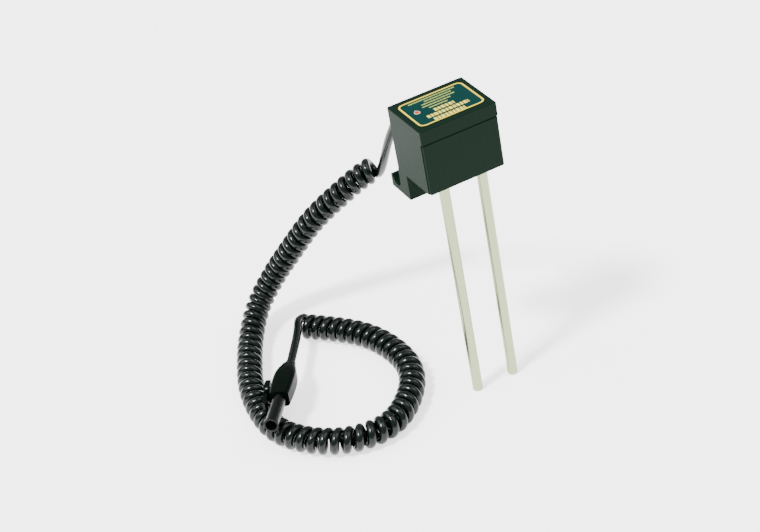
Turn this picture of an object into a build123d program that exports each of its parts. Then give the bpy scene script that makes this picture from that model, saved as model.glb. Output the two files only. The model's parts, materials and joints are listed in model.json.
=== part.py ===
"""Soil moisture sensor: a small electronics box on two metal rods, with a curly cord and a latching plug.

Millimetres, +Z up. The origin lies midway between the two rod tips, on the ground that they touch.
+X runs along the box's width, and +Y runs from the front cover to the back wall, where the cord leaves.
The part is an assembly: each function below makes one physical piece, or one set of equal pieces.
"""

import os
from math import cos, pi, radians, sin, tan

from build123d import *

# Rods: quarter-inch round bar, one inch apart, six inches long below the box.
ROD_R = 3.175
ROD_SPACING = 25.4
ROD_LENGTH = 152.4
TIP_CHAMFER = 0.6
STUD_R = 2.0
STUD_LENGTH = 11.6
ROD_X = ROD_SPACING / 2

# Box: its underside stops against the ground when the rods are fully in.
BOX_W = 50.0
BOX_D = 40.0
BOX_H = 42.0
WALL = 2.0
FRONT_Y = -7.5
BACK_Y = FRONT_Y + BOX_D
MID_Y = (FRONT_Y + BACK_Y) / 2
UNDER_Z = ROD_LENGTH
TOP_Z = UNDER_Z + BOX_H
EDGE_FILLET = 0.8
TOP_CHAMFER = 0.5
INNER_X = BOX_W / 2 - WALL
INNER_FRONT_Y = FRONT_Y + WALL
INNER_BACK_Y = BACK_Y - WALL

# Front cover: fills the front from the underside up to the band round the top.
BAND_H = 8.8
COVER_GAP = 0.15
COVER_INSET = 0.5
SEAM_GAP = 0.5
COVER_TOP_Z = TOP_Z - BAND_H - SEAM_GAP
TONGUE_T = 1.4
TONGUE_H = 4.0
RIB_T = 1.3
RIB_D = 2.0

# Base plate with its edge seal and three countersunk screws.
BASE_T = 3.0
BASE_TOP_Z = UNDER_Z + BASE_T
SEAL_LOW = 1.3
SEAL_H = 1.0
SEAL_DEPTH = 0.9
BOSS_R = 3.2
BOSS_X = 20.1
BOSS_FRONT_Y = 9.0
BOSS_BACK_Y = 27.4
BOARD_Z = 166.0
SCREW_R = 1.25
SCREW_HEAD_R = 2.4
SCREW_HEAD_H = 1.3
BASE_SCREW_LENGTH = 7.6
BOARD_SCREW_LENGTH = 5.4
PILOT_R = SCREW_R

# Label plate, seated in a shallow pocket in the top.
LABEL_W = 43.4
LABEL_D = 31.2
LABEL_R = 4.0
LABEL_T = 0.5
LABEL_POCKET = 0.35

# Hook under the back left corner: a J section that runs along X, open at the top.
HOOK_W = 14.0
HOOK_FRONT_Y = 22.0
HOOK_BACK_Y = 44.7
HOOK_BOTTOM_Z = UNDER_Z - 17.1
HOOK_TIP_Z = UNDER_Z - 8.4
HOOK_FLOOR_T = 3.4
FINGER_T = 2.4

# Rod fixings inside the box.
BUSH_FLANGE_R = 4.9
BUSH_FLANGE_T = 0.9
BUSH_R = 4.0
BUSH_TOP_Z = BASE_TOP_Z + 1.0
BUSH_FIT = 0.05
SEAL_R = 3.0
ROD_SEAL_T = 1.0
WASHER_R = 4.4
WASHER_T = 0.8
TERMINAL_R = 3.8
TERMINAL_T = 0.8
NUT_FLATS = 7.0
NUT_H = 3.2
THREAD_CLEARANCE = 0.05

# Circuit board and what stands on it.
BOARD_T = 1.6
BOARD_X = 22.4
BOARD_FRONT_Y = 5.4
BOARD_BACK_Y = 30.0
BOARD_TOP_Z = BOARD_Z + BOARD_T
WIRE_R = 0.7
WIRE_BEND = 2.5
LEG_PITCH = 2.54
CHIP_AT = (-6.0, 15.0)
CHIP_SIZE = (9.8, 6.4, 3.4)
CHIP_STANDOFF = 0.5
CHIP_LEGS_A_ROW = 4
LEG_W = 0.6
LEG_T = 0.8
LEG_TOP = 1.9
CRYSTAL_AT = (7.5, 9.2)
CRYSTAL_SIZE = (10.8, 4.6, 3.6)
CANS = [(-17.2, 19.0, 2.5, 7.0), (14.5, 17.6, 3.15, 8.0)]
CAN_FILLET = 0.5
CERAMIC_X = (-10.5, -6.0, -1.5)
CERAMIC_Y = 7.6
CERAMIC_SIZE = (3.0, 1.6, 3.0)
RESISTOR_X = 5.2
RESISTOR_Y = [13.4, 16.2, 19.0, 21.8]
RESISTOR_BODY = (1.0, 5.0)
RESISTOR_LEAD_R = 0.3
RESISTOR_SPAN = 7.0
RESISTOR_HEIGHT = 1.2
TRIMMER_AT = (-14.2, 12.6)
TRIMMER_SIZE = (5.4, 5.2, 5.0)
ADJUSTER_R = 1.5
ADJUSTER_H = 0.6
HEADER_SIZE = (8.4, 5.0, 6.0)
HEADER_SOCKET_DEPTH = 4.0
CORE_SPACING = 1.2
CORE_BEND = 0.9

# Terminals and screws.
TONGUE_HALF_W = 1.6
TONGUE_Y = (2.0, 9.0)
BARREL_Y = (8.0, 12.5)
BARREL_R = 1.3
WIRE_START_Y = 9.2
WIRE_RISE_Y = 17.0
SHANK_FIT = 0.03
HEAD_SLOT = (2.4, 0.5)
PAN_HEAD_R = 2.2
PAN_HEAD_H = 1.5
PAN_SLOT = (3.0, 0.5)

# Cord: a round jacket, straight at both ends and wound into a curly coil between them.
CORD_R = 2.85
COIL_R = 8.6
LAY = 8.7
GLAND_X = 4.0
GLAND_Z = 176.0
GLAND_HOLE_R = 4.5
GLAND_FLANGE_R = 6.0
GLAND_FLANGE_T = 1.5
RELIEF_END_Y = 47.0
RELIEF_ROOT_R = 4.8
RELIEF_TIP_R = 3.9
RELIEF_GROOVES = 4
HEADER_X = -10.0
HEADER_Y = 22.0
PIN_PITCH = 2.54
CORE_R = 0.55
CRIMP_R = 3.9
CRIMP_L = 2.4
CORD_INNER_Y = 25.5

# Route of the lead, from the strain relief's mouth to where the coil begins.
LEAD_ROUTE = [
    (GLAND_X, RELIEF_END_Y, GLAND_Z),
    (4.0, 56.0, 176.0),
    (1.7, 67.1, 169.3),
    (-0.8, 78.8, 155.7),
    (-3.9, 89.4, 137.9),
    (-4.6, 97.9, 123.2),
    (-4.6, 106.5, 109.8),
    (-4.7, 115.8, 99.2),
]

# Route of the coil's axis: down from behind the box, then round in a loop on the ground.
COIL_ROUTE = [
    (-6.2, 117.3, 104.7),
    (-14.0, 119.6, 102.0),
    (-26.9, 123.6, 93.7),
    (-38.7, 130.0, 83.5),
    (-50.1, 137.3, 71.4),
    (-62.6, 144.3, 54.6),
    (-76.9, 151.8, 35.8),
    (-94.5, 151.8, 16.5),
    (-110.0, 132.0, LAY),
    (-121.0, 109.0, LAY),
    (-131.0, 85.0, LAY),
    (-136.0, 60.0, LAY),
    (-136.0, 33.0, LAY),
    (-122.0, 10.0, LAY),
    (-101.0, -5.0, LAY),
    (-75.0, -7.0, LAY),
    (-53.0, 11.0, LAY),
    (-40.0, 33.0, LAY),
    (-39.0, 59.0, LAY),
    (-46.0, 85.0, LAY),
    (-61.0, 106.0, LAY),
    (-76.5, 122.5, LAY),
]

# Plug: lies across the coil, its socket end resting on top of the turns.
PLUG_START = Vector(-103.3, 79.0, 17.0)
PLUG_MOUTH = Vector(-141.3, 23.5, 23.2)

# Route of the tail, from the coil's inner end, folded back over it, to the plug.
TAIL_ROUTE = [
    (-68.0, 119.0, 13.2),
    (-73.5, 124.0, 15.2),
    (-78.6, 120.3, 15.9),
    (-82.4, 112.0, 16.1),
    (-89.0, 101.0, 16.3),
    (-96.4, 89.6, 16.7),
    tuple(PLUG_START),
]

# Plug sections along its own axis, from the cord end at 0 to the socket mouth.
PLUG_AXIS = (PLUG_MOUTH - PLUG_START).normalized()
PLUG_SIDE = PLUG_AXIS.cross(Vector(0, 0, 1)).normalized()
PLUG_PLANE = Plane(origin=PLUG_START, x_dir=PLUG_SIDE, z_dir=PLUG_AXIS)
PLUG_LENGTH = (PLUG_MOUTH - PLUG_START).length
BOOT_LENGTH = 9.0
BOOT_TIP_R = 3.5
BOOT_ROOT_R = 4.1
GRIP_START = 4.0
GRIP_END = 39.5
GRIP_CORNER_R = 2.4
GRIP_SECTIONS = [
    (GRIP_START, 4.3, 4.3),
    (8.0, 5.2, 4.9),
    (13.0, 6.4, 5.5),
    (18.0, 6.9, 5.8),
    (26.0, 6.9, 5.8),
    (34.0, 6.6, 5.6),
    (GRIP_END, 6.2, 5.4),
]
SHROUD_START = 24.0
SHROUD_R = 4.4
SHROUD_BORE_R = 3.5
RIM_R = 4.7
RIM_L = 1.6
INSERT_START = 26.0
INSERT_FACE = 56.0
INSERT_R = 3.2
CONTACT_COUNT = 3
CONTACT_RING_R = 1.6
CONTACT_R = 0.6
CONTACT_BORE_R = 0.35
CONTACT_DEPTH = 6.0

# Latch lever beside the grip, on a cross pin held by two ears.
LATCH_PIN_AT = 33.0
LATCH_PIN_SIDE = 8.9
LATCH_PIN_R = 0.85
LATCH_BORE_R = 0.9
LATCH_BOSS_R = 1.8
LATCH_T = 5.0
EAR_T = 1.3
EAR_GAP = 0.3
EAR_R = 2.0
EAR_TOP = LATCH_T / 2 + EAR_GAP + EAR_T
PAD_SIDE = 12.0
PAD_GROOVES = 4
PAD_GROOVE_R = 0.35
PAD_FIRST_GROOVE = -9.5
PAD_GROOVE_PITCH = 1.8

# Lever outline from its pin: (distance from the plug's axis, distance along it towards the mouth).
LATCH_OUTLINE = [
    (8.7, -12.0),
    (11.2, -12.0),
    (PAD_SIDE, -10.5),
    (PAD_SIDE, -3.0),
    (11.0, -1.5),
    (10.6, 4.0),
    (9.6, 13.0),
    (7.6, 14.5),
    (6.0, 13.5),
    (6.0, 11.0),
    (7.2, 10.6),
    (7.8, 4.0),
    (7.9, -3.0),
]


def block(x, y, z):
    """A box from three (low, high) pairs."""
    size = [high - low for low, high in (x, y, z)]
    middle = [(high + low) / 2 for low, high in (x, y, z)]
    return Pos(*middle) * Box(*size)


def post(x, y, z, radius):
    """An upright cylinder between the two heights in z."""
    return Pos(x, y, (z[0] + z[1]) / 2) * Cylinder(radius, z[1] - z[0])


def bar_y(x, z, y, radius):
    """A cylinder along Y between the two places in y."""
    return Pos(x, (y[0] + y[1]) / 2, z) * Rot(90, 0, 0) * Cylinder(radius, y[1] - y[0])


def cone_y(x, z, y, radii):
    """A cone along Y whose radii go with the two places in y."""
    length = y[1] - y[0]
    return Pos(x, (y[0] + y[1]) / 2, z) * Rot(-90, 0, 0) * Cone(radii[0], radii[1], length)


def corner_radii(route):
    """One arc for each corner of a route, as large as its two runs allow."""
    points = [Vector(*p) for p in route]
    runs = [b - a for a, b in zip(points, points[1:])]
    radii = []
    for before, after in zip(runs, runs[1:]):
        half_turn = radians(before.get_angle(after)) / 2
        radii.append(0.45 * min(before.length, after.length) / tan(half_turn))
    return radii


def tube(name, route, radius):
    """A round tube along straight runs joined by tangent arcs."""
    radii = corner_radii(route)
    path = FilletPolyline(*route, radius=radii)
    start = Plane(origin=path @ 0, z_dir=path % 0)
    solid = sweep(start * Circle(radius), path=path)
    expected = pi * radius**2 * path.length
    print(f"{name}: length {path.length:.1f}, smallest radius {min(radii):.1f},", end=" ")
    print(f"volume over section times length {solid.volume / expected:.4f}")
    return solid


def hook():
    """The J section under the back left corner, with its slot open at the top."""
    low_x = -BOX_W / 2
    x = (low_x, low_x + HOOK_W)
    body = block(x, (HOOK_FRONT_Y, HOOK_BACK_Y), (HOOK_BOTTOM_Z, UNDER_Z))
    slot_y = (BACK_Y, HOOK_BACK_Y - FINGER_T)
    slot_r = (slot_y[1] - slot_y[0]) / 2
    slot_bottom = HOOK_BOTTOM_Z + HOOK_FLOOR_T
    slot_x = (x[0] - 1, x[1] + 1)
    body -= block(slot_x, slot_y, (slot_bottom + slot_r, UNDER_Z + 1))
    middle = Pos((x[0] + x[1]) / 2, sum(slot_y) / 2, slot_bottom + slot_r)
    body -= middle * Rot(0, 90, 0) * Cylinder(slot_r, HOOK_W + 2)
    body -= block(slot_x, (slot_y[1] - 0.01, HOOK_BACK_Y + 1), (HOOK_TIP_Z, UNDER_Z + 1))
    tip_edges = [e for e in body.edges().filter_by(Axis.X) if abs(e.center().Z - HOOK_TIP_Z) < 0.01]
    body = fillet(tip_edges, FINGER_T / 2 - 0.1)
    return body


def housing_shell():
    """Top, back and side walls with the hook, open at the front and underneath."""
    body = block((-BOX_W / 2, BOX_W / 2), (FRONT_Y, BACK_Y), (UNDER_Z, TOP_Z))
    body = fillet(body.edges().filter_by(Axis.Z), EDGE_FILLET)
    body = chamfer(body.faces().sort_by(Axis.Z)[-1].edges(), TOP_CHAMFER)
    cavity_y = (INNER_FRONT_Y, INNER_BACK_Y)
    body -= block((-INNER_X, INNER_X), cavity_y, (UNDER_Z - 1, TOP_Z - WALL))
    opening_y = (FRONT_Y - 1, INNER_FRONT_Y)
    body -= block((-BOX_W, BOX_W), opening_y, (UNDER_Z - 1, TOP_Z - BAND_H))
    for x in (-BOSS_X, BOSS_X):
        for y in (BOSS_FRONT_Y, BOSS_BACK_Y):
            body += post(x, y, (BASE_TOP_Z, BOARD_Z), BOSS_R)
    for x in (-BOSS_X, BOSS_X):
        for y in (BOSS_FRONT_Y, BOSS_BACK_Y):
            body -= post(x, y, (BASE_TOP_Z - 1, BASE_TOP_Z + BASE_SCREW_LENGTH - BASE_T), PILOT_R)
            body -= post(x, y, (BOARD_Z + BOARD_T - BOARD_SCREW_LENGTH, BOARD_Z + 1), PILOT_R)
    body -= bar_y(GLAND_X, GLAND_Z, (INNER_BACK_Y - 1, BACK_Y + 1), GLAND_HOLE_R)
    body -= label_outline(LABEL_W, LABEL_D, TOP_Z - LABEL_POCKET, 1.0)
    return body + hook()


def label_outline(width, depth, bottom_z, height):
    """A thin plate with round corners, centred on the box's top."""
    outline = RectangleRounded(width, depth, LABEL_R)
    return extrude(Pos(0, MID_Y, bottom_z) * outline, height)


def label_plate():
    return label_outline(LABEL_W - 0.2, LABEL_D - 0.2, TOP_Z - LABEL_POCKET, LABEL_T)


def front_cover():
    """A plate over the side walls' front edges, with a tongue behind the top band and two ribs."""
    half_w = BOX_W / 2 - COVER_INSET
    body = block((-half_w, half_w), (FRONT_Y, INNER_FRONT_Y), (UNDER_Z, COVER_TOP_Z))
    body = fillet(body.edges().filter_by(Axis.Z).group_by(Axis.Y)[0], EDGE_FILLET)
    front_top = [e for e in body.edges().filter_by(Axis.X) if e.center().Y < FRONT_Y + 0.1]
    body = chamfer(front_top, 0.4)
    half_w = INNER_X - COVER_GAP
    tongue_y = (INNER_FRONT_Y + COVER_GAP, INNER_FRONT_Y + COVER_GAP + TONGUE_T)
    tongue_x = (-half_w + 2, half_w - 2)
    body += block(tongue_x, tongue_y, (COVER_TOP_Z - TONGUE_H, COVER_TOP_Z + TONGUE_H))
    root_y = (INNER_FRONT_Y, tongue_y[1])
    body += block(tongue_x, root_y, (COVER_TOP_Z - TONGUE_H, COVER_TOP_Z - 1))
    for side in (-1, 1):
        rib_x = sorted((side * (half_w - 0.5), side * (half_w - 0.5 - RIB_T)))
        rib_y = (INNER_FRONT_Y, INNER_FRONT_Y + RIB_D)
        body += block(rib_x, rib_y, (BASE_TOP_Z + 0.3, COVER_TOP_Z - TONGUE_H))
    return body


def base_seal():
    """A square-section seal in a groove round the base plate's edge."""
    half_w = INNER_X - 0.05
    y = (INNER_FRONT_Y + 0.05, INNER_BACK_Y - 0.05)
    z = (UNDER_Z + SEAL_LOW, UNDER_Z + SEAL_LOW + SEAL_H)
    ring = block((-half_w, half_w), y, z)
    inner_y = (y[0] + SEAL_DEPTH, y[1] - SEAL_DEPTH)
    return ring - block((SEAL_DEPTH - half_w, half_w - SEAL_DEPTH), inner_y, z)


def base_screw_places():
    """Three screws: the hook covers the fourth corner, where the plate slides under its ledge."""
    return [(-BOSS_X, BOSS_FRONT_Y), (BOSS_X, BOSS_FRONT_Y), (BOSS_X, BOSS_BACK_Y)]


def base_plate():
    half_w = INNER_X - COVER_GAP
    y = (INNER_FRONT_Y + COVER_GAP, INNER_BACK_Y - COVER_GAP)
    body = block((-half_w, half_w), y, (UNDER_Z, BASE_TOP_Z))
    body -= base_seal()
    for x, screw_y in base_screw_places():
        body -= post(x, screw_y, (UNDER_Z - 1, BASE_TOP_Z + 1), SCREW_R + 0.1)
        body -= countersink(x, screw_y)
    for x in (-ROD_X, ROD_X):
        body -= post(x, 0, (UNDER_Z - 1, UNDER_Z + BUSH_FLANGE_T + BUSH_FIT), BUSH_FLANGE_R + BUSH_FIT)
        body -= post(x, 0, (UNDER_Z, BASE_TOP_Z + 1), BUSH_R + BUSH_FIT)
    return body


def countersink(x, y):
    """The cone under a flat screw head, flush with the underside."""
    cone = Cone(SCREW_HEAD_R + 0.05, SCREW_R, SCREW_HEAD_H)
    return Pos(x, y, UNDER_Z + SCREW_HEAD_H / 2) * cone


def base_screws():
    """Countersunk screws with a cross slot, their points up."""
    screws = []
    for x, y in base_screw_places():
        head = Pos(x, y, UNDER_Z + SCREW_HEAD_H / 2) * Cone(SCREW_HEAD_R, SCREW_R, SCREW_HEAD_H)
        shank = post(x, y, (UNDER_Z + SCREW_HEAD_H - 0.2, UNDER_Z + BASE_SCREW_LENGTH), SCREW_R - SHANK_FIT)
        screw = head + shank
        for slot in (HEAD_SLOT, HEAD_SLOT[::-1]):
            screw -= Pos(x, y, UNDER_Z) * Box(*slot, 1.0)
        screws.append(screw)
    return Compound(children=screws)


def rod(x):
    """A round rod with a flat, chamfered tip and a threaded stud above its shoulder."""
    shank = post(x, 0, (0, ROD_LENGTH), ROD_R)
    shank = chamfer(shank.edges().sort_by(Axis.Z)[0], TIP_CHAMFER)
    stud = post(x, 0, (ROD_LENGTH, ROD_LENGTH + STUD_LENGTH), STUD_R)
    stud = chamfer(stud.edges().sort_by(Axis.Z)[-1], 0.4)
    return shank + stud


def rod_bushings():
    """Insulating bushings, each with a flange let into the underside and a pocket for the seal."""
    bushings = []
    for x in (-ROD_X, ROD_X):
        body = post(x, 0, (UNDER_Z, UNDER_Z + BUSH_FLANGE_T), BUSH_FLANGE_R)
        body += post(x, 0, (UNDER_Z, BUSH_TOP_Z), BUSH_R)
        body -= post(x, 0, (UNDER_Z - 1, BUSH_TOP_Z + 1), STUD_R + THREAD_CLEARANCE)
        body -= post(x, 0, (UNDER_Z - 1, UNDER_Z + ROD_SEAL_T), SEAL_R)
        bushings.append(body)
    return Compound(children=bushings)


def ring(x, y, z, outer, inner):
    return post(x, y, z, outer) - post(x, y, (z[0] - 1, z[1] + 1), inner)


def rod_seals():
    z = (UNDER_Z, UNDER_Z + ROD_SEAL_T)
    inner = STUD_R + THREAD_CLEARANCE
    return Compound(children=[ring(x, 0, z, SEAL_R - 0.05, inner) for x in (-ROD_X, ROD_X)])


def rod_washers():
    z = (BUSH_TOP_Z, BUSH_TOP_Z + WASHER_T)
    inner = STUD_R + THREAD_CLEARANCE
    return Compound(children=[ring(x, 0, z, WASHER_R, inner) for x in (-ROD_X, ROD_X)])


def terminal_z():
    low = BUSH_TOP_Z + WASHER_T
    return (low, low + TERMINAL_T)


def rod_terminals():
    """Ring terminals under the nuts, each with a tongue and a wire barrel towards the back."""
    terminals = []
    z = terminal_z()
    for x in (-ROD_X, ROD_X):
        eye = post(x, 0, z, TERMINAL_R)
        eye += block((x - TONGUE_HALF_W, x + TONGUE_HALF_W), TONGUE_Y, z)
        eye += bar_y(x, z[0] + BARREL_R, BARREL_Y, BARREL_R)
        eye -= post(x, 0, (z[0] - 1, z[1] + 1), STUD_R + THREAD_CLEARANCE)
        eye -= bar_y(x, z[0] + BARREL_R, (TONGUE_Y[1], BARREL_Y[1] + 1), WIRE_R)
        terminals.append(eye)
    return Compound(children=terminals)


def rod_nuts():
    nuts = []
    low = terminal_z()[1]
    for x in (-ROD_X, ROD_X):
        outline = RegularPolygon(NUT_FLATS / 2, 6, major_radius=False)
        nut = extrude(Pos(x, 0, low) * outline, NUT_H)
        nut -= post(x, 0, (low - 1, low + NUT_H + 1), STUD_R + THREAD_CLEARANCE)
        nuts.append(nut)
    return Compound(children=nuts)


def wire(route, bend, radius=WIRE_R):
    """A thin wire with equal bends."""
    path = FilletPolyline(*route, radius=bend)
    start = Plane(origin=path @ 0, z_dir=path % 0)
    return sweep(start * Circle(radius), path=path)


def rod_wires():
    """One wire from each terminal's barrel, up into the underside of the board."""
    z = terminal_z()[0] + BARREL_R
    wires = []
    for x in (-ROD_X, ROD_X):
        route = [(x, WIRE_START_Y, z), (x, WIRE_RISE_Y, z), (x, WIRE_RISE_Y, BOARD_Z)]
        wires.append(wire(route, WIRE_BEND))
    return Compound(children=wires)


def board_screw_places():
    return [(x, y) for x in (-BOSS_X, BOSS_X) for y in (BOSS_FRONT_Y, BOSS_BACK_Y)]


def circuit_board():
    body = block((-BOARD_X, BOARD_X), (BOARD_FRONT_Y, BOARD_BACK_Y), (BOARD_Z, BOARD_TOP_Z))
    for x, y in board_screw_places():
        body -= post(x, y, (BOARD_Z - 1, BOARD_TOP_Z + 1), SCREW_R + 0.1)
    return body


def board_screws():
    """Pan-head screws that hold the board on the four bosses."""
    screws = []
    for x, y in board_screw_places():
        head_top_z = BOARD_TOP_Z + PAN_HEAD_H
        screw = post(x, y, (BOARD_TOP_Z, head_top_z), PAN_HEAD_R)
        screw += post(x, y, (BOARD_TOP_Z - BOARD_SCREW_LENGTH + 0.2, BOARD_TOP_Z + 0.2), SCREW_R - SHANK_FIT)
        screw -= Pos(x, y, head_top_z) * Box(*PAN_SLOT, 1.0)
        screws.append(screw)
    return Compound(children=screws)


def seated(x, y, size, low=BOARD_TOP_Z):
    """A block of a (width, depth, height) centred on a place on the board."""
    width, depth, height = size
    return block((x - width / 2, x + width / 2), (y - depth / 2, y + depth / 2), (low, low + height))


def sensor_chip():
    """A dual in-line chip that stands on two rows of legs."""
    x, y = CHIP_AT
    low = BOARD_TOP_Z + CHIP_STANDOFF
    body = seated(x, y, CHIP_SIZE, low)
    leg_size = (LEG_W, LEG_T, CHIP_STANDOFF + LEG_TOP)
    first_x = x - LEG_PITCH * (CHIP_LEGS_A_ROW - 1) / 2
    for row in (-1, 1):
        leg_y = y + row * (CHIP_SIZE[1] + LEG_T) / 2
        for column in range(CHIP_LEGS_A_ROW):
            body += seated(first_x + LEG_PITCH * column, leg_y, leg_size)
    return body


def crystal_can():
    width, depth, height = CRYSTAL_SIZE
    return extrude(Pos(*CRYSTAL_AT, BOARD_TOP_Z) * SlotOverall(width, depth), height)


def electrolytic_capacitors():
    cans = []
    for x, y, radius, height in CANS:
        can = post(x, y, (BOARD_TOP_Z, BOARD_TOP_Z + height), radius)
        cans.append(fillet(can.edges().sort_by(Axis.Z)[-1], CAN_FILLET))
    return Compound(children=cans)


def ceramic_capacitors():
    return Compound(children=[seated(x, CERAMIC_Y, CERAMIC_SIZE) for x in CERAMIC_X])


def resistors():
    """Axial resistors lying across the board, their leads bent down to it."""
    parts = []
    z = BOARD_TOP_Z + RESISTOR_HEIGHT
    along_x = Rot(0, 90, 0)
    lead_length = RESISTOR_SPAN + 2 * RESISTOR_LEAD_R
    for y in RESISTOR_Y:
        body = Pos(RESISTOR_X, y, z) * along_x * Cylinder(*RESISTOR_BODY)
        body += Pos(RESISTOR_X, y, z) * along_x * Cylinder(RESISTOR_LEAD_R, lead_length)
        for side in (-1, 1):
            foot_x = RESISTOR_X + side * RESISTOR_SPAN / 2
            body += post(foot_x, y, (BOARD_TOP_Z, z + RESISTOR_LEAD_R), RESISTOR_LEAD_R)
        parts.append(body)
    return Compound(children=parts)


def trimmer_pot():
    """A square trimmer with a slotted adjuster."""
    x, y = TRIMMER_AT
    top_z = BOARD_TOP_Z + TRIMMER_SIZE[2]
    adjuster = post(x, y, (top_z, top_z + ADJUSTER_H), ADJUSTER_R)
    adjuster -= Pos(x, y, top_z + ADJUSTER_H) * Box(2.2, 0.5, ADJUSTER_H)
    return seated(x, y, TRIMMER_SIZE) + adjuster


def header_pin_places():
    return [HEADER_X + PIN_PITCH * index for index in (-1, 0, 1)]


def cord_header():
    """A three-way wire header near the board's back edge."""
    top_z = BOARD_TOP_Z + HEADER_SIZE[2]
    body = seated(HEADER_X, HEADER_Y, HEADER_SIZE)
    for x in header_pin_places():
        body -= post(x, HEADER_Y, (top_z - HEADER_SOCKET_DEPTH, top_z + 1), WIRE_R)
    return body


def cord_conductors():
    """Three insulated cores from the cord's inner end over to the header."""
    cores = []
    for index, x in enumerate(header_pin_places()):
        start_x = GLAND_X + CORE_SPACING * (index - 1)
        height = GLAND_Z + CORE_SPACING * (1 - index)
        route = [
            (start_x, CORD_INNER_Y, height),
            (start_x, HEADER_Y, height),
            (x, HEADER_Y, height),
            (x, HEADER_Y, BOARD_TOP_Z + 2.2),
        ]
        cores.append(wire(route, CORE_BEND, CORE_R))
    return Compound(children=cores)


def cord_gland():
    """A rubber bush in the back wall, with a grooved, tapered strain relief outside."""
    body = bar_y(GLAND_X, GLAND_Z, (INNER_BACK_Y, BACK_Y), GLAND_HOLE_R)
    body += bar_y(GLAND_X, GLAND_Z, (INNER_BACK_Y - GLAND_FLANGE_T, INNER_BACK_Y), GLAND_FLANGE_R - 0.4)
    body += bar_y(GLAND_X, GLAND_Z, (BACK_Y, BACK_Y + GLAND_FLANGE_T), GLAND_FLANGE_R)
    relief_y = (BACK_Y + GLAND_FLANGE_T, RELIEF_END_Y)
    body += cone_y(GLAND_X, GLAND_Z, relief_y, (RELIEF_ROOT_R, RELIEF_TIP_R))
    pitch = (relief_y[1] - relief_y[0]) / (RELIEF_GROOVES + 1)
    for index in range(RELIEF_GROOVES):
        middle = relief_y[0] + pitch * (index + 1)
        groove = bar_y(GLAND_X, GLAND_Z, (middle - 0.5, middle + 0.5), RELIEF_ROOT_R + 1)
        groove -= bar_y(GLAND_X, GLAND_Z, (middle - 1, middle + 1), RELIEF_TIP_R - 0.35)
        body -= groove
    bore_y = (INNER_BACK_Y - GLAND_FLANGE_T - 1, RELIEF_END_Y + 1)
    return body - bar_y(GLAND_X, GLAND_Z, bore_y, CORD_R)


def cord_inner_end():
    """The jacket's end, held in the gland, where the coil's lead begins."""
    return bar_y(GLAND_X, GLAND_Z, (CORD_INNER_Y, RELIEF_END_Y), CORD_R)


def cord_crimp():
    """A metal ring crimped on the jacket inside the wall, so that the cord can't pull out."""
    y = (INNER_BACK_Y - GLAND_FLANGE_T - CRIMP_L, INNER_BACK_Y - GLAND_FLANGE_T)
    return bar_y(GLAND_X, GLAND_Z, y, CRIMP_R) - bar_y(GLAND_X, GLAND_Z, (y[0] - 1, y[1] + 1), CORD_R)


def along_plug(low, high, radius, side=0.0, height=0.0):
    """A cylinder along the plug's own axis, in the plug's own frame."""
    return Pos(side, height, (low + high) / 2) * Cylinder(radius, high - low)


def plug_boot():
    """A short tapered sleeve round the cord, its wide end inside the grip."""
    boot = Pos(0, 0, BOOT_LENGTH / 2) * Cone(BOOT_TIP_R, BOOT_ROOT_R, BOOT_LENGTH)
    return PLUG_PLANE * (boot - along_plug(-1, BOOT_LENGTH + 1, CORD_R))


def plug_grip():
    """The moulded body: a round-cornered bar that swells from the boot to the shroud, with latch ears."""
    sections = []
    for at, half_w, half_t in GRIP_SECTIONS:
        sections.append(Pos(0, 0, at) * RectangleRounded(2 * half_w, 2 * half_t, GRIP_CORNER_R))
    body = loft(sections)
    for side in (-1, 1):
        ear_y = sorted((side * (LATCH_T / 2 + EAR_GAP), side * EAR_TOP))
        ear = Rot(90, 0, 0) * Cylinder(EAR_R, EAR_T)
        body += Pos(LATCH_PIN_SIDE, sum(ear_y) / 2, LATCH_PIN_AT) * ear
        root_z = (LATCH_PIN_AT - EAR_R, LATCH_PIN_AT + EAR_R)
        body += block((2.0, LATCH_PIN_SIDE), ear_y, root_z)
    pin_hole = Rot(90, 0, 0) * Cylinder(LATCH_PIN_R, 3 * EAR_TOP)
    body -= Pos(LATCH_PIN_SIDE, 0, LATCH_PIN_AT) * pin_hole
    boot = Pos(0, 0, BOOT_LENGTH / 2) * Cone(BOOT_TIP_R, BOOT_ROOT_R, BOOT_LENGTH)
    body -= boot
    body -= along_plug(BOOT_LENGTH - 1, SHROUD_START + 1, CORD_R)
    body -= along_plug(SHROUD_START, GRIP_END + 1, SHROUD_R)
    return PLUG_PLANE * body


def plug_shroud():
    """A thin sleeve round the contacts, open at the mouth, with a rolled rim."""
    body = along_plug(SHROUD_START, PLUG_LENGTH, SHROUD_R)
    body += along_plug(PLUG_LENGTH - RIM_L, PLUG_LENGTH, RIM_R)
    body = fillet(body.edges().sort_by(Axis.Z)[-1], 0.3)
    body -= along_plug(SHROUD_START - 1, INSERT_FACE + 1, INSERT_R)
    return PLUG_PLANE * (body - along_plug(INSERT_FACE, PLUG_LENGTH + 1, SHROUD_BORE_R))


def contact_places():
    turns = [radians(90 + 360 * index / CONTACT_COUNT) for index in range(CONTACT_COUNT)]
    return [(CONTACT_RING_R * cos(turn), CONTACT_RING_R * sin(turn)) for turn in turns]


def plug_insert():
    """The insulator that carries the contacts, set back inside the shroud."""
    body = along_plug(INSERT_START, INSERT_FACE, INSERT_R)
    for side, height in contact_places():
        body -= along_plug(INSERT_START - 1, INSERT_FACE + 1, CONTACT_R, side, height)
    return PLUG_PLANE * body


def plug_contacts():
    """Three socket contacts, flush with the insulator's face."""
    contacts = []
    for side, height in contact_places():
        contact = along_plug(INSERT_START, INSERT_FACE, CONTACT_R, side, height)
        contact -= along_plug(INSERT_FACE - CONTACT_DEPTH, INSERT_FACE + 1, CONTACT_BORE_R, side, height)
        contacts.append(PLUG_PLANE * contact)
    return Compound(children=contacts)


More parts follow.
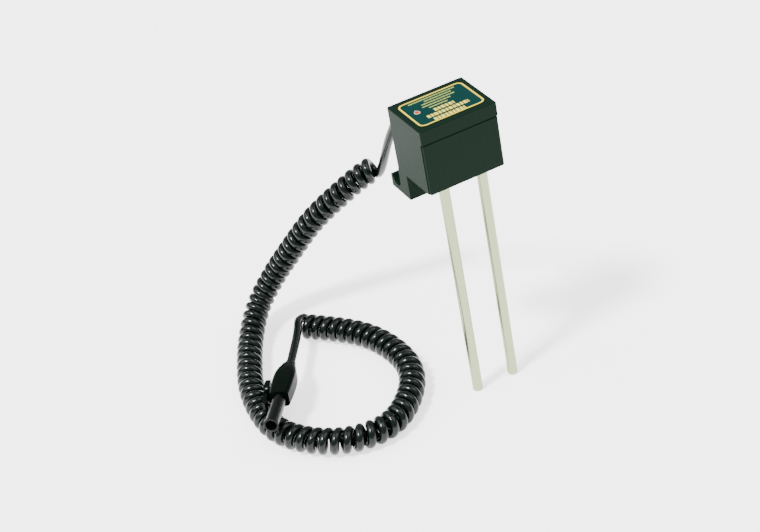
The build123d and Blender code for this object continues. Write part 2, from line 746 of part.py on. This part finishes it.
def plug_latch():
    """The latch lever: a thumb pad behind its pin, and a hooked nose that reaches along the shroud."""
    outline = [(side, LATCH_PIN_AT + along) for side, along in LATCH_OUTLINE]
    face = Plane.XZ * make_face(Polyline(*outline, close=True))
    body = extrude(face, LATCH_T / 2, both=True)
    boss = Rot(90, 0, 0) * Cylinder(LATCH_BOSS_R, LATCH_T)
    body += Pos(LATCH_PIN_SIDE, 0, LATCH_PIN_AT) * boss
    for index in range(PAD_GROOVES):
        groove = Rot(90, 0, 0) * Cylinder(PAD_GROOVE_R, LATCH_T + 2)
        at = LATCH_PIN_AT + PAD_FIRST_GROOVE + PAD_GROOVE_PITCH * index
        body -= Pos(PAD_SIDE + 0.1, 0, at) * groove
    bore = Rot(90, 0, 0) * Cylinder(LATCH_BORE_R, LATCH_T + 2)
    body -= Pos(LATCH_PIN_SIDE, 0, LATCH_PIN_AT) * bore
    return PLUG_PLANE * body


def latch_pin():
    pin = Rot(90, 0, 0) * Cylinder(LATCH_PIN_R, 2 * EAR_TOP)
    return PLUG_PLANE * (Pos(LATCH_PIN_SIDE, 0, LATCH_PIN_AT) * pin)


NODES = {
    "housing_shell": housing_shell,
    "front_cover": front_cover,
    "base_plate": base_plate,
    "base_seal": base_seal,
    "base_screws": base_screws,
    "label_plate": label_plate,
    "rod_left": lambda: rod(-ROD_X),
    "rod_right": lambda: rod(ROD_X),
    "rod_bushings": rod_bushings,
    "rod_seals": rod_seals,
    "rod_washers": rod_washers,
    "rod_terminals": rod_terminals,
    "rod_nuts": rod_nuts,
    "rod_wires": rod_wires,
    "circuit_board": circuit_board,
    "board_screws": board_screws,
    "sensor_chip": sensor_chip,
    "crystal_can": crystal_can,
    "electrolytic_capacitors": electrolytic_capacitors,
    "ceramic_capacitors": ceramic_capacitors,
    "resistors": resistors,
    "trimmer_pot": trimmer_pot,
    "cord_header": cord_header,
    "cord_conductors": cord_conductors,
    "cord_gland": cord_gland,
    "cord_crimp": cord_crimp,
    "cord_inner_end": cord_inner_end,
    "cord_lead": lambda: tube("cord_lead", LEAD_ROUTE, CORD_R),
    "cord_coil": lambda: tube("cord_coil", COIL_ROUTE, COIL_R),
    "cord_tail": lambda: tube("cord_tail", TAIL_ROUTE, CORD_R),
    "plug_boot": plug_boot,
    "plug_grip": plug_grip,
    "plug_shroud": plug_shroud,
    "plug_insert": plug_insert,
    "plug_contacts": plug_contacts,
    "plug_latch": plug_latch,
    "latch_pin": latch_pin,
}


def main():
    os.makedirs("parts", exist_ok=True)
    for name, make in NODES.items():
        export_step(make(), f"parts/{name}.step")
    pin = PLUG_PLANE.from_local_coords(Vector(LATCH_PIN_SIDE, 0, LATCH_PIN_AT))
    print("latch pin at", tuple(pin), "axis", tuple(PLUG_PLANE.y_dir), "plug axis", tuple(PLUG_AXIS))


main()
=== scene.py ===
"""Soil moisture sensor: camera, curly cord, surface finishes, printed label, floor and light.

The CAD model is loaded as the frame. Everything here is placed in that frame, in metres.
Lengths written in millimetres are multiplied by MM.
"""

import json

from math import cos, pi, radians, sin

import bpy
from mathutils import Matrix, Vector


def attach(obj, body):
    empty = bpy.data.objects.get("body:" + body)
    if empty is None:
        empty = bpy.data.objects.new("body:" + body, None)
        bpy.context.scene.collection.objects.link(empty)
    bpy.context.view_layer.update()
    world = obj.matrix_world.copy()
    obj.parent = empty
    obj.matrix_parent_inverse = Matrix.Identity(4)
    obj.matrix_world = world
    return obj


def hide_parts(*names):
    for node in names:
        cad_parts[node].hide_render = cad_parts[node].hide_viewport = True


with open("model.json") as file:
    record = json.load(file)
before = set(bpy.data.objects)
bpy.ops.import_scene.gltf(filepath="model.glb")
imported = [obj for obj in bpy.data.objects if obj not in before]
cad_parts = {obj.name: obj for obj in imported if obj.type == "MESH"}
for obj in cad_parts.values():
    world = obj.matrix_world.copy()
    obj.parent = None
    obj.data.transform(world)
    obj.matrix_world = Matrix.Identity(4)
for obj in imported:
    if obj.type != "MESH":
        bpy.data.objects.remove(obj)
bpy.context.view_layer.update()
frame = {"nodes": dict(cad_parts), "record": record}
NODES = frame["nodes"]

MM = 0.001

# Camera: a short telephoto, above and to the left of the sensor, rolled clockwise.
CAMERA_AT = Vector((-0.36556, -0.78367, 0.68412))
AZIMUTH = radians(-21.248)
ELEVATION = radians(34.019)
ROLL = radians(-11.4)
LENS_MM = 83.16
SENSOR_MM = 36.0

# Cord: the same routes as the CAD tubes, in millimetres. LAY is the height of the coil's axis on the ground.
CORD_R = 2.85 * MM
LAY = 8.7
LEAD_ROUTE = [
    (4.0, 47.0, 176.0),
    (4.0, 56.0, 176.0),
    (1.7, 67.1, 169.3),
    (-0.8, 78.8, 155.7),
    (-3.9, 89.4, 137.9),
    (-4.6, 97.9, 123.2),
    (-4.6, 106.5, 109.8),
    (-4.7, 115.8, 99.2),
]
COIL_ROUTE = [
    (-6.2, 117.3, 104.7),
    (-14.0, 119.6, 102.0),
    (-26.9, 123.6, 93.7),
    (-38.7, 130.0, 83.5),
    (-50.1, 137.3, 71.4),
    (-62.6, 144.3, 54.6),
    (-76.9, 151.8, 35.8),
    (-94.5, 151.8, 16.5),
    (-110.0, 132.0, LAY),
    (-121.0, 109.0, LAY),
    (-131.0, 85.0, LAY),
    (-136.0, 60.0, LAY),
    (-136.0, 33.0, LAY),
    (-122.0, 10.0, LAY),
    (-101.0, -5.0, LAY),
    (-75.0, -7.0, LAY),
    (-53.0, 11.0, LAY),
    (-40.0, 33.0, LAY),
    (-39.0, 59.0, LAY),
    (-46.0, 85.0, LAY),
    (-61.0, 106.0, LAY),
    (-76.5, 122.5, LAY),
]
TAIL_ROUTE = [
    (-68.0, 119.0, 13.2),
    (-73.5, 124.0, 15.2),
    (-78.6, 120.3, 15.9),
    (-82.4, 112.0, 16.1),
    (-89.0, 101.0, 16.3),
    (-96.4, 89.6, 16.7),
    (-103.3, 79.0, 17.0),
]

# Distance from one turn to the next, in millimetres, at each share of the way along the coil.
TURN_PITCH = [
    (0.0, 5.8),
    (0.04, 6.3),
    (0.13, 6.6),
    (0.21, 5.8),
    (0.265, 5.75),
    (0.29, 6.8),
    (0.385, 7.1),
    (0.523, 7.05),
    (0.703, 6.8),
    (0.852, 7.4),
    (1.0, 6.2),
]
# The turns' control points lie a little outside the 5.75 mm circle that the spline itself follows.
WIND_R = 5.86 * MM
POINTS_PER_TURN = 16
COIL_END_GAP = 1.0 * MM
# The lead bends into the first turn over wider steps, and the last turn runs out at this tail point.
LEAD_JOIN = (0, 3, 5)
TAIL_JOIN = 1
# Steps that a spline is drawn with between two control points, and round the cord's section.
AXIS_STEPS = 32
CORD_STEPS = 3
SECTION_STEPS = 4

# Label: print on the top plate, in millimetres from the plate's centre, with +Y to the back.
LABEL_CENTRE = Vector((0.0, 12.5, 194.55)) * MM
PRINT_LIFT = 0.02
BORDER = (42.6, 30.4, 3.8)
BORDER_LINE = 1.1
CORNER_STEPS = 10

# Rows of bars in the place of words: (left end, right end, height on the label). A bar's width is a
# share of its row's height, and so is the gap between two bars.
BOLD_ROWS = [(-11.0, 9.0, -12.4), (-13.0, 14.0, -7.6), (-6.0, 7.0, -3.0)]
BOLD_HEIGHT = 3.1
BOLD_BARS = (0.62, 0.45, 0.7, 0.5)
FINE_ROWS = [(-7.0, 5.0, 1.2), (-10.0, 8.5, 4.0), (-9.0, 12.5, 6.7), (-6.0, 12.0, 9.4), (-15.0, 15.5, 12.0)]
FINE_HEIGHT = 1.2
FINE_BARS = (0.7, 1.3, 0.5, 1.0, 0.8)
BAR_GAP = 0.2

# Water drop at the label's left, and the smaller coloured drop on it.
DROP_AT = (-15.0, 1.6)
DROP_SIZE = 2.3
DROP_FILL = 0.78
DROP_LIFT = 0.01
DROP_STEPS = 32

# Finishes: colour, roughness, width of a bump in millimetres and how strong the bumps are.
FINISHES = {
    "case_plastic": dict(colour=(0.0024, 0.0100, 0.0054), roughness=0.5, bump=(0.35, 0.10), shine=0.045),
    "seal_rubber": dict(colour=(0.02, 0.02, 0.02), roughness=0.7, bump=(0.4, 0.2)),
    "fixing_steel": dict(colour=(0.60, 0.60, 0.58), roughness=0.3, bump=(0.3, 0.08), metallic=1.0),
    "label_print": dict(colour=(0.0, 0.023, 0.021), roughness=0.3, bump=(0.6, 0.03), shine=0.05),
    "rod_steel": dict(
        colour=(0.30, 0.34, 0.20), roughness=0.24, bump=(0.8, 0.10), metallic=1.0, stretch=(1.0, 1.0, 0.05)
    ),
    "bushing_plastic": dict(colour=(0.04, 0.04, 0.04), roughness=0.5, bump=(0.4, 0.1)),
    "contact_brass": dict(colour=(0.80, 0.58, 0.24), roughness=0.25, bump=(0.3, 0.05), metallic=1.0),
    "wire_jacket": dict(colour=(0.40, 0.04, 0.03), roughness=0.45, bump=(0.4, 0.05)),
    "board_laminate": dict(colour=(0.02, 0.16, 0.06), roughness=0.35, bump=(0.5, 0.06)),
    "component_black": dict(colour=(0.02, 0.02, 0.02), roughness=0.55, bump=(0.3, 0.1)),
    "can_metal": dict(colour=(0.75, 0.75, 0.75), roughness=0.3, bump=(0.4, 0.05), metallic=1.0),
    "component_tan": dict(colour=(0.58, 0.40, 0.20), roughness=0.4, bump=(0.4, 0.05)),
    "trimmer_blue": dict(colour=(0.04, 0.11, 0.45), roughness=0.4, bump=(0.4, 0.05)),
    "cord_jacket": dict(colour=(0.0006, 0.003, 0.002), roughness=0.2, bump=(1.2, 0.04), shine=0.28),
    "plug_plastic": dict(colour=(0.0008, 0.0028, 0.0016), roughness=0.32, bump=(0.4, 0.10), shine=0.03),
    "shroud_metal": dict(colour=(0.0012, 0.002, 0.0018), roughness=0.25, bump=(0.5, 0.06), shine=0.14),
    "label_gold": dict(colour=(0.62, 0.47, 0.03), roughness=0.4, bump=(0.5, 0.02), shine=0.1),
    "label_cream": dict(colour=(0.60, 0.52, 0.08), roughness=0.4, bump=(0.5, 0.02), shine=0.1),
    "label_pale": dict(colour=(0.24, 0.30, 0.07), roughness=0.4, bump=(0.5, 0.02), shine=0.1),
    "label_orange": dict(colour=(0.42, 0.035, 0.0), roughness=0.4, bump=(0.5, 0.02), shine=0.1),
    "label_white": dict(colour=(0.55, 0.50, 0.38), roughness=0.4, bump=(0.5, 0.02)),
}
BUMP_DETAIL = 3.0
BUMP_DEPTH = 0.1 * MM

# Floor: half its side in metres, and how pale it is.
FLOOR_HALF = 3.0
FLOOR_PALE = (0.95, 0.95, 0.95)

# Light: a lit white table, a pale sky, and each sun's direction, angle across in degrees and strength.
FLOOR_GLOW = 1.7
WORLD_LIGHT = 0.7
SUNS = {
    "key": ((0.6, 0.15, -1.0), 10.0, 6.5),
    "fill": ((-0.5, 0.3, -1.0), 50.0, 1.6),
    "back": ((0.7, -0.35, -0.9), 50.0, 1.6),
}


def make_camera():
    """The camera, from its place and its three angles."""
    back = Vector((sin(AZIMUTH) * cos(ELEVATION), -cos(AZIMUTH) * cos(ELEVATION), sin(ELEVATION)))
    level = Vector((cos(AZIMUTH), sin(AZIMUTH), 0.0))
    upright = back.cross(level)
    right = level * cos(ROLL) + upright * sin(ROLL)
    up = upright * cos(ROLL) - level * sin(ROLL)
    data = bpy.data.cameras.new("camera")
    data.sensor_width = SENSOR_MM
    data.lens = LENS_MM
    data.clip_start = 0.05
    camera = bpy.data.objects.new("camera", data)
    camera.matrix_world = Matrix.Translation(CAMERA_AT) @ Matrix((right, up, back)).transposed().to_4x4()
    bpy.context.scene.collection.objects.link(camera)
    bpy.context.scene.camera = camera


def link(name, data):
    """A new object in the scene that shows the data."""
    obj = bpy.data.objects.new(name, data)
    bpy.context.scene.collection.objects.link(obj)
    return obj


# ---------------------------------------------------------------- cord


def nurbs_curve(name, places, resolution):
    """A curve of one open NURBS spline with the places, in metres, as its control points."""
    curve = bpy.data.curves.new(name, "CURVE")
    curve.dimensions = "3D"
    spline = curve.splines.new("NURBS")
    spline.points.add(len(places) - 1)
    for point, place in zip(spline.points, places):
        point.co = (*place, 1.0)
    spline.order_u = 3
    spline.use_endpoint_u = True
    spline.resolution_u = resolution
    return link(name, curve)


def in_metres(route):
    return [Vector(place) * MM for place in route]


def spline_points(places):
    """Points close together along the NURBS curve that the places control."""
    holder = nurbs_curve("coil_axis", places, AXIS_STEPS)
    mesh = bpy.data.meshes.new_from_object(holder)
    points = [vertex.co.copy() for vertex in mesh.vertices]
    bpy.data.objects.remove(holder)
    bpy.data.meshes.remove(mesh)
    return points


def between(stops, share):
    """The value at a share of the way, on straight lines between (share, value) stops."""
    for (low, first), (high, second) in zip(stops, stops[1:]):
        if share <= high:
            return first + (second - first) * (share - low) / (high - low)
    return stops[-1][1]


class Axis:
    """The coil's axis: its length, and at any distance along it the place and two cross directions."""

    def __init__(self, points):
        self.points = points
        self.at = [0.0]
        for a, b in zip(points, points[1:]):
            self.at.append(self.at[-1] + (b - a).length)
        self.length = self.at[-1]
        self.along = [(b - a).normalized() for a, b in zip(points, points[1:])]
        self.along.append(self.along[-1])
        self.side = [self.along[0].cross(Vector((0, 0, 1))).normalized()]
        for direction in self.along[1:]:
            last = self.side[-1]
            self.side.append((last - direction * last.dot(direction)).normalized())

    def frame(self, distance, start=0):
        """The span that holds the distance, searched from start, with its place and cross directions."""
        index = start
        while index < len(self.at) - 2 and self.at[index + 1] < distance:
            index += 1
        share = (distance - self.at[index]) / (self.at[index + 1] - self.at[index])
        place = self.points[index].lerp(self.points[index + 1], share)
        along = self.along[index]
        side = self.side[index]
        return index, place, side, along.cross(side)

    def phase(self, distance, point):
        """The angle round the axis at which a nearby point lies."""
        _, place, side, other = self.frame(distance)
        offset = point - place
        return Vector((1, 0)).angle_signed(Vector((offset.dot(side), -offset.dot(other))), 0.0)


def winding(axis, first, last, end):
    """The winding's stations along the axis, its first angle, and the whole angle that it turns through."""
    stations = []
    distance = 0.0
    while distance < end:
        stations.append(distance)
        distance += between(TURN_PITCH, distance / axis.length) * MM / POINTS_PER_TURN
    start_phase = axis.phase(0.0, first)
    rest = (start_phase - axis.phase(end, last)) / (2 * pi)
    turns = rest + round(len(stations) / POINTS_PER_TURN - rest)
    return stations, start_phase, 2 * pi * turns


def coil_points(axis, first, last):
    """Control points of a left-handed winding from near the place first to near the place last."""
    stations, start_phase, whole_angle = winding(axis, first, last, axis.length - COIL_END_GAP)
    points = []
    index = 0
    for count, distance in enumerate(stations):
        index, place, side, other = axis.frame(distance, index)
        angle = start_phase - whole_angle * count / (len(stations) - 1)
        points.append(place + (side * cos(angle) + other * sin(angle)) * WIND_R)
    return points


def make_cord(material):
    """The whole cord as one spline: the lead, the turns of the coil, and the tail to the plug."""
    lead = in_metres(LEAD_ROUTE)
    tail = in_metres(TAIL_ROUTE)
    axis = Axis(spline_points(in_metres(COIL_ROUTE)))
    coil = coil_points(axis, lead[-1], tail[TAIL_JOIN])
    turns = [coil[index] for index in LEAD_JOIN] + coil[LEAD_JOIN[-1] + 1 :]
    cord = nurbs_curve("curly_cord", lead[:-1] + turns + tail[TAIL_JOIN + 1 :], CORD_STEPS)
    cord.data.bevel_depth = CORD_R
    cord.data.bevel_resolution = SECTION_STEPS
    cord.data.use_fill_caps = True
    cord.data.materials.append(material)
    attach(cord, "sensor")
    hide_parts("cord_lead", "cord_coil", "cord_tail")


# ---------------------------------------------------------------- materials


def shader(name, colour, roughness, metallic=0.0, shine=0.5):
    """A principled material, and its main node. shine is the strength of a plain surface's reflection."""
    material = bpy.data.materials.new(name)
    material.use_nodes = True
    base = material.node_tree.nodes["Principled BSDF"]
    base.inputs["Base Color"].default_value = (*colour, 1.0)
    base.inputs["Roughness"].default_value = roughness
    base.inputs["Metallic"].default_value = metallic
    base.inputs["Specular IOR Level"].default_value = shine
    return material, base


def grained(name, bump, stretch=(1.0, 1.0, 1.0), **finish):
    """A material with fine bumps from noise, which stretch can draw out along an axis."""
    size_mm, strength = bump
    material, base = shader(name, **finish)
    tree = material.node_tree
    place = tree.nodes.new("ShaderNodeTexCoord")
    scale = tree.nodes.new("ShaderNodeMapping")
    scale.inputs["Scale"].default_value = stretch
    noise = tree.nodes.new("ShaderNodeTexNoise")
    noise.inputs["Scale"].default_value = 1.0 / (size_mm * MM)
    noise.inputs["Detail"].default_value = BUMP_DETAIL
    relief = tree.nodes.new("ShaderNodeBump")
    relief.inputs["Strength"].default_value = strength
    relief.inputs["Distance"].default_value = BUMP_DEPTH
    tree.links.new(place.outputs["Object"], scale.inputs["Vector"])
    tree.links.new(scale.outputs["Vector"], noise.inputs["Vector"])
    tree.links.new(noise.outputs["Fac"], relief.inputs["Height"])
    tree.links.new(relief.outputs["Normal"], base.inputs["Normal"])
    return material


def make_materials():
    return {name: grained(name, **finish) for name, finish in FINISHES.items()}


def paint_nodes(materials):
    """Gives each CAD node the finish that its record names."""
    for part in frame["record"]["subparts"]:
        node = NODES[part["node"]]
        slot = part["material_slot"]
        node.data.materials.clear()
        node.data.materials.append(materials[slot])


# ---------------------------------------------------------------- label print


def flat_mesh(name, corners, faces, material):
    """A flat print on the label, from corners in millimetres in the label's own plane."""
    lift = Vector((0, 0, PRINT_LIFT)) * MM
    mesh = bpy.data.meshes.new(name)
    places = [LABEL_CENTRE + lift + Vector((x, y, 0.0)) * MM for x, y in corners]
    mesh.from_pydata(places, [], faces)
    mesh.materials.append(material)
    obj = link(name, mesh)
    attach(obj, "sensor")
    return obj


def round_corners(width, depth, radius):
    """The outline of a rectangle with round corners, counter-clockwise."""
    outline = []
    for corner, (sx, sy) in enumerate(((1, 1), (-1, 1), (-1, -1), (1, -1))):
        centre = (sx * (width / 2 - radius), sy * (depth / 2 - radius))
        for step in range(CORNER_STEPS + 1):
            angle = pi / 2 * (corner + step / CORNER_STEPS)
            outline.append((centre[0] + radius * cos(angle), centre[1] + radius * sin(angle)))
    return outline


def make_border(material):
    """The line round the label's edge."""
    outer = round_corners(*BORDER)
    width, depth, radius = BORDER
    inner = round_corners(width - 2 * BORDER_LINE, depth - 2 * BORDER_LINE, radius - BORDER_LINE)
    count = len(outer)
    faces = []
    for index in range(count):
        after = (index + 1) % count
        faces.append((index, after, count + after, count + index))
    return flat_mesh("label_border", outer + inner, faces, material)


def make_row(name, row, height, material, bars):
    """A row of plain bars, in the place of words. bars are the bars' widths, used in turn."""
    left, right, y = row
    low = y - height / 2
    high = y + height / 2
    corners = []
    faces = []
    x = left
    while x < right:
        width = min(bars[len(faces) % len(bars)] * height, right - x)
        first = len(corners)
        corners += [(x, low), (x + width, low), (x + width, high), (x, high)]
        faces.append((first, first + 1, first + 2, first + 3))
        x += width + BAR_GAP * height
    return flat_mesh(name, corners, faces, material)


def drop_outline(size):
    """A drop with its point towards the label's front."""
    outline = []
    for step in range(DROP_STEPS):
        angle = 2 * pi * step / DROP_STEPS
        across = sin(angle) * sin(angle / 2)
        outline.append((DROP_AT[0] + size * across, DROP_AT[1] + size * cos(angle)))
    return outline


def make_drop(edge, fill):
    """A water drop: a light one with a smaller coloured one on it."""
    face = tuple(range(DROP_STEPS))
    flat_mesh("drop_edge", drop_outline(DROP_SIZE), [face], edge)
    drop = flat_mesh("drop", drop_outline(DROP_FILL * DROP_SIZE), [face], fill)
    drop.data.transform(Matrix.Translation((0, 0, DROP_LIFT * MM)))


def make_label(materials):
    """All the print on the label."""
    make_border(materials["label_gold"])
    for index, row in enumerate(BOLD_ROWS):
        make_row(f"label_bold_{index}", row, BOLD_HEIGHT, materials["label_cream"], BOLD_BARS)
    for index, row in enumerate(FINE_ROWS):
        make_row(f"label_fine_{index}", row, FINE_HEIGHT, materials["label_pale"], FINE_BARS)
    make_drop(materials["label_white"], materials["label_orange"])


# ---------------------------------------------------------------- floor and light


def make_floor():
    """A pale, faintly glowing floor that reaches past the view."""
    mesh = bpy.data.meshes.new("floor")
    corners = [(-1, -1), (1, -1), (1, 1), (-1, 1)]
    mesh.from_pydata([Vector((x, y, 0)) * FLOOR_HALF for x, y in corners], [], [(0, 1, 2, 3)])
    material, base = shader("floor", FLOOR_PALE, roughness=0.9)
    base.inputs["Emission Color"].default_value = (1.0, 1.0, 1.0, 1.0)
    base.inputs["Emission Strength"].default_value = FLOOR_GLOW
    mesh.materials.append(material)
    link("floor", mesh)


def sun(name, towards, spread, strength):
    """A distant light: spread is the angle across it, in degrees, and sets how soft its shadow is."""
    data = bpy.data.lights.new(name, "SUN")
    data.angle = radians(spread)
    data.energy = strength
    light = link(name, data)
    light.rotation_euler = Vector(towards).to_track_quat("-Z", "Y").to_euler()


def make_light():
    """The sky and the suns."""
    world = bpy.data.worlds.new("studio")
    world.use_nodes = True
    world.node_tree.nodes["Background"].inputs["Color"].default_value = (1.0, 1.0, 1.0, 1.0)
    world.node_tree.nodes["Background"].inputs["Strength"].default_value = WORLD_LIGHT
    bpy.context.scene.world = world
    for name, (towards, spread, strength) in SUNS.items():
        sun(name, towards, spread, strength)


make_camera()
materials = make_materials()
make_cord(materials["cord_jacket"])
paint_nodes(materials)
make_label(materials)
make_floor()
make_light()
